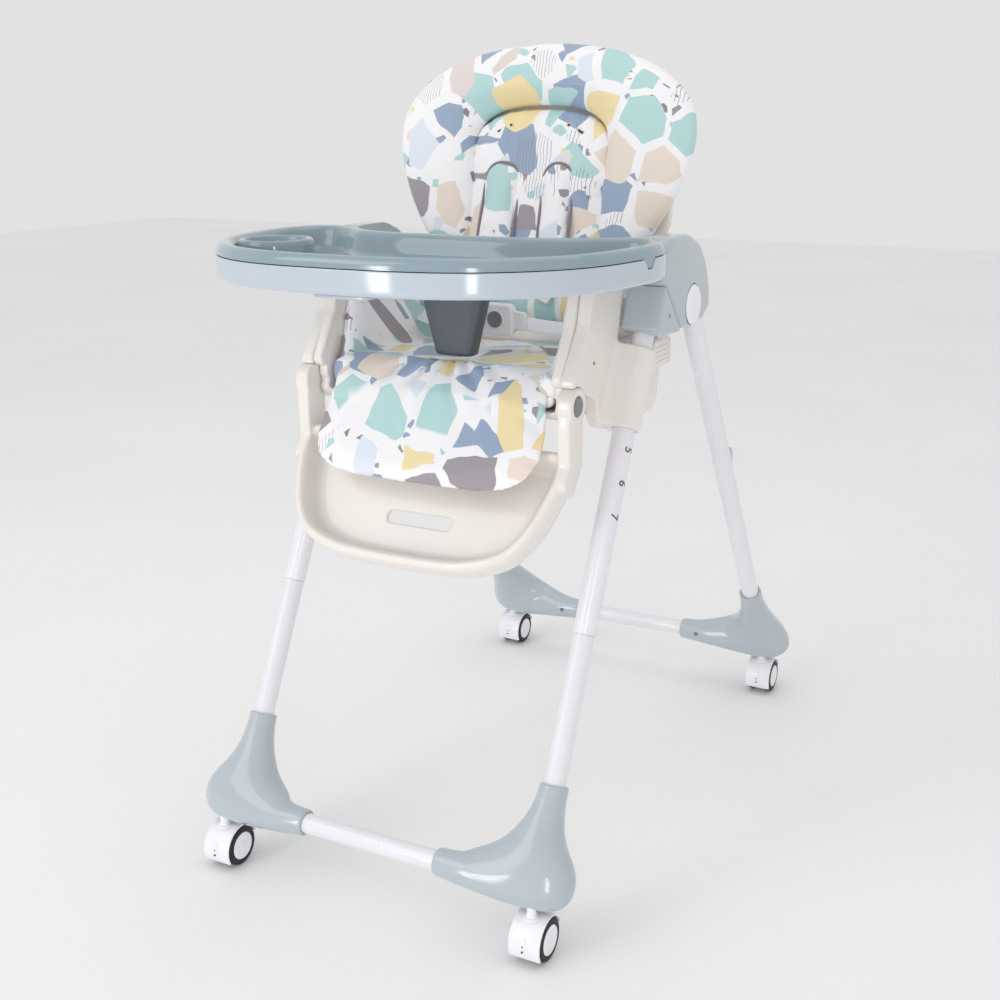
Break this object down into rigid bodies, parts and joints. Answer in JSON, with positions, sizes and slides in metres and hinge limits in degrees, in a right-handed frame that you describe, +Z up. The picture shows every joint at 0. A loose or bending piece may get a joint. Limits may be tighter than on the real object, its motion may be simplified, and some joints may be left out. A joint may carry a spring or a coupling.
{
  "type": "baby high chair",
  "caption": "Folding high chair on casters: a padded seat that slides up and down the legs, with reclining back, swing-up footrest, sliding lift-out tray and harness.",
  "frame": {"origin": "centre of the footprint on the floor", "axes": "+Z up, the sitter faces -Y, the sitter's left hand is at +X"},
  "size_m": [0.5526, 0.889, 1.0297],
  "materials": {
    "painted_tube": "gloss white",
    "grey_plastic": "gloss blue-grey",
    "tray_grey": "satin light grey",
    "tray_slate": "gloss blue-grey",
    "post_slate": "satin slate",
    "white_plastic": "satin white",
    "caster_tyre": "matte black",
    "printed_fabric": "coated print on white",
    "webbing": "woven webbing",
    "button_grey": "matte grey",
    "cream_plastic": "satin cream"
  },
  "bodies": {
    "front_frame": {"front_upper_tube_left": "painted_tube", "front_upper_tube_right": "painted_tube", "front_lower_tube_left": "painted_tube", "front_lower_tube_right": "painted_tube", "front_foot_left": "grey_plastic", "front_foot_right": "grey_plastic", "front_crossbar": "painted_tube", "hinge_front_housing_left": "grey_plastic", "hinge_front_housing_right": "grey_plastic"},
    "rear_frame": {"rear_upper_tube_left": "painted_tube", "rear_upper_tube_right": "painted_tube", "rear_lower_tube_left": "painted_tube", "rear_lower_tube_right": "painted_tube", "rear_foot_left": "grey_plastic", "rear_foot_right": "grey_plastic", "rear_crossbar": "painted_tube", "hinge_rear_housing_left": "grey_plastic", "hinge_rear_housing_right": "grey_plastic", "tray_hook_left": "grey_plastic", "tray_hook_right": "grey_plastic"},
    "hub_button_body_left": {"hub_button_left": "white_plastic"},
    "hub_button_body_right": {"hub_button_right": "white_plastic"},
    "seat_carrier": {"seat_side_panel_left": "cream_plastic", "seat_side_panel_right": "cream_plastic", "seat_pan": "cream_plastic", "seat_cushion": "printed_fabric", "lap_strap": "webbing", "harness_buckle": "white_plastic"},
    "height_lever_body_left": {"height_lever_left": "cream_plastic"},
    "height_lever_body_right": {"height_lever_right": "cream_plastic"},
    "back": {"backrest_shell": "cream_plastic", "back_cushion": "printed_fabric", "back_bolster": "printed_fabric", "shoulder_pad_left": "printed_fabric", "shoulder_pad_right": "printed_fabric"},
    "recline_handle_body": {"recline_handle": "cream_plastic"},
    "footrest_body": {"footrest": "cream_plastic", "leg_flap": "printed_fabric"},
    "footrest_button_body_left": {"footrest_button_left": "button_grey"},
    "footrest_button_body_right": {"footrest_button_right": "button_grey"},
    "tray": {"tray_base": "tray_grey", "crotch_post": "post_slate"},
    "tray_insert_body": {"tray_insert": "tray_slate"},
    "tray_release_body": {"tray_release": "tray_grey"},
    "caster_front_left": {"caster_housing_front_left": "white_plastic"},
    "wheel_body_outer_front_left": {"wheel_outer_front_left": "caster_tyre"},
    "wheel_body_inner_front_left": {"wheel_inner_front_left": "caster_tyre"},
    "brake_body_front_left": {"caster_brake_front_left": "white_plastic"},
    "caster_front_right": {"caster_housing_front_right": "white_plastic"},
    "wheel_body_outer_front_right": {"wheel_outer_front_right": "caster_tyre"},
    "wheel_body_inner_front_right": {"wheel_inner_front_right": "caster_tyre"},
    "brake_body_front_right": {"caster_brake_front_right": "white_plastic"},
    "caster_rear_left": {"caster_housing_rear_left": "white_plastic"},
    "wheel_body_outer_rear_left": {"wheel_outer_rear_left": "caster_tyre"},
    "wheel_body_inner_rear_left": {"wheel_inner_rear_left": "caster_tyre"},
    "brake_body_rear_left": {"caster_brake_rear_left": "white_plastic"},
    "caster_rear_right": {"caster_housing_rear_right": "white_plastic"},
    "wheel_body_outer_rear_right": {"wheel_outer_rear_right": "caster_tyre"},
    "wheel_body_inner_rear_right": {"wheel_inner_rear_right": "caster_tyre"},
    "brake_body_rear_right": {"caster_brake_rear_right": "white_plastic"}
  },
  "joints": [
    {"name": "frame_fold", "type": "hinge", "parent": "front_frame", "child": "rear_frame", "pos_m": [0, -0.0035, 0.7], "axis": [1, 0, 0], "range_deg": [-48, 0]},
    {"name": "hub_button_press_left", "type": "slide", "parent": "rear_frame", "child": "hub_button_body_left", "axis": [-1, 0, 0], "range_m": [0, 0.0027], "stiffness_N_per_m": 300},
    {"name": "hub_button_press_right", "type": "slide", "parent": "rear_frame", "child": "hub_button_body_right", "axis": [1, 0, 0], "range_m": [0, 0.0027], "stiffness_N_per_m": 300},
    {"name": "seat_height", "type": "slide", "parent": "front_frame", "child": "seat_carrier", "axis": [0, 0.4454, 0.8953], "range_m": [-0.171, 0], "deforming": ["back_bolster"]},
    {"name": "height_lever_pull_left", "type": "slide", "parent": "seat_carrier", "child": "height_lever_body_left", "axis": [0, 0, 1], "range_m": [0, 0.005], "stiffness_N_per_m": 300},
    {"name": "height_lever_pull_right", "type": "slide", "parent": "seat_carrier", "child": "height_lever_body_right", "axis": [0, 0, 1], "range_m": [0, 0.005], "stiffness_N_per_m": 300},
    {"name": "back_recline", "type": "hinge", "parent": "seat_carrier", "child": "back", "pos_m": [0, 0.0095, 0.64], "axis": [1, 0, 0], "range_deg": [-33, 0]},
    {"name": "recline_handle_pull", "type": "slide", "parent": "back", "child": "recline_handle_body", "axis": [0, 0.2079, 0.9781], "range_m": [0, 0.012], "stiffness_N_per_m": 200},
    {"name": "footrest_raise", "type": "hinge", "parent": "seat_carrier", "child": "footrest_body", "pos_m": [0, -0.2385, 0.6095], "axis": [1, 0, 0], "range_deg": [-70, 0]},
    {"name": "footrest_button_press_left", "type": "slide", "parent": "footrest_body", "child": "footrest_button_body_left", "axis": [-1, 0, 0], "range_m": [0, 0.0025], "stiffness_N_per_m": 300},
    {"name": "footrest_button_press_right", "type": "slide", "parent": "footrest_body", "child": "footrest_button_body_right", "axis": [1, 0, 0], "range_m": [0, 0.0025], "stiffness_N_per_m": 300},
    {"name": "tray_slide", "type": "slide", "parent": "seat_carrier", "child": "tray", "axis": [0, 1, 0], "range_m": [-0.06, 0]},
    {"name": "tray_insert_lift", "type": "slide", "parent": "tray", "child": "tray_insert_body", "axis": [0, 0, 1], "range_m": [0, 0.05]},
    {"name": "tray_release_squeeze", "type": "slide", "parent": "tray", "child": "tray_release_body", "axis": [0, 1, 0], "range_m": [0, 0.006], "stiffness_N_per_m": 300},
    {"name": "caster_swivel_front_left", "type": "hinge", "parent": "front_frame", "child": "caster_front_left", "pos_m": [0.2211, -0.4169, 0.06], "axis": [0, 0, 1], "continuous": true},
    {"name": "wheel_roll_outer_front_left", "type": "hinge", "parent": "caster_front_left", "child": "wheel_body_outer_front_left", "pos_m": [0.2211, -0.4083, 0.026], "axis": [1, 0, 0], "continuous": true},
    {"name": "wheel_roll_inner_front_left", "type": "hinge", "parent": "caster_front_left", "child": "wheel_body_inner_front_left", "pos_m": [0.2211, -0.4083, 0.026], "axis": [1, 0, 0], "continuous": true},
    {"name": "brake_pedal_front_left", "type": "hinge", "parent": "caster_front_left", "child": "brake_body_front_left", "pos_m": [0.2211, -0.4083, 0.026], "axis": [1, 0, 0], "range_deg": [-12, 0]},
    {"name": "caster_swivel_front_right", "type": "hinge", "parent": "front_frame", "child": "caster_front_right", "pos_m": [-0.2211, -0.4169, 0.06], "axis": [0, 0, 1], "continuous": true},
    {"name": "wheel_roll_outer_front_right", "type": "hinge", "parent": "caster_front_right", "child": "wheel_body_outer_front_right", "pos_m": [-0.2211, -0.4083, 0.026], "axis": [1, 0, 0], "continuous": true},
    {"name": "wheel_roll_inner_front_right", "type": "hinge", "parent": "caster_front_right", "child": "wheel_body_inner_front_right", "pos_m": [-0.2211, -0.4083, 0.026], "axis": [1, 0, 0], "continuous": true},
    {"name": "brake_pedal_front_right", "type": "hinge", "parent": "caster_front_right", "child": "brake_body_front_right", "pos_m": [-0.2211, -0.4083, 0.026], "axis": [1, 0, 0], "range_deg": [-12, 0]},
    {"name": "caster_swivel_rear_left", "type": "hinge", "parent": "rear_frame", "child": "caster_rear_left", "pos_m": [0.2335, 0.4009, 0.06], "axis": [0, 0, 1], "continuous": true},
    {"name": "wheel_roll_outer_rear_left", "type": "hinge", "parent": "caster_rear_left", "child": "wheel_body_outer_rear_left", "pos_m": [0.2335, 0.4095, 0.026], "axis": [1, 0, 0], "continuous": true},
    {"name": "wheel_roll_inner_rear_left", "type": "hinge", "parent": "caster_rear_left", "child": "wheel_body_inner_rear_left", "pos_m": [0.2335, 0.4095, 0.026], "axis": [1, 0, 0], "continuous": true},
    {"name": "brake_pedal_rear_left", "type": "hinge", "parent": "caster_rear_left", "child": "brake_body_rear_left", "pos_m": [0.2335, 0.4095, 0.026], "axis": [1, 0, 0], "range_deg": [-12, 0]},
    {"name": "caster_swivel_rear_right", "type": "hinge", "parent": "rear_frame", "child": "caster_rear_right", "pos_m": [-0.2335, 0.4009, 0.06], "axis": [0, 0, 1], "continuous": true},
    {"name": "wheel_roll_outer_rear_right", "type": "hinge", "parent": "caster_rear_right", "child": "wheel_body_outer_rear_right", "pos_m": [-0.2335, 0.4095, 0.026], "axis": [1, 0, 0], "continuous": true},
    {"name": "wheel_roll_inner_rear_right", "type": "hinge", "parent": "caster_rear_right", "child": "wheel_body_inner_rear_right", "pos_m": [-0.2335, 0.4095, 0.026], "axis": [1, 0, 0], "continuous": true},
    {"name": "brake_pedal_rear_right", "type": "hinge", "parent": "caster_rear_right", "child": "brake_body_rear_right", "pos_m": [-0.2335, 0.4095, 0.026], "axis": [1, 0, 0], "range_deg": [-12, 0]}
  ]
}
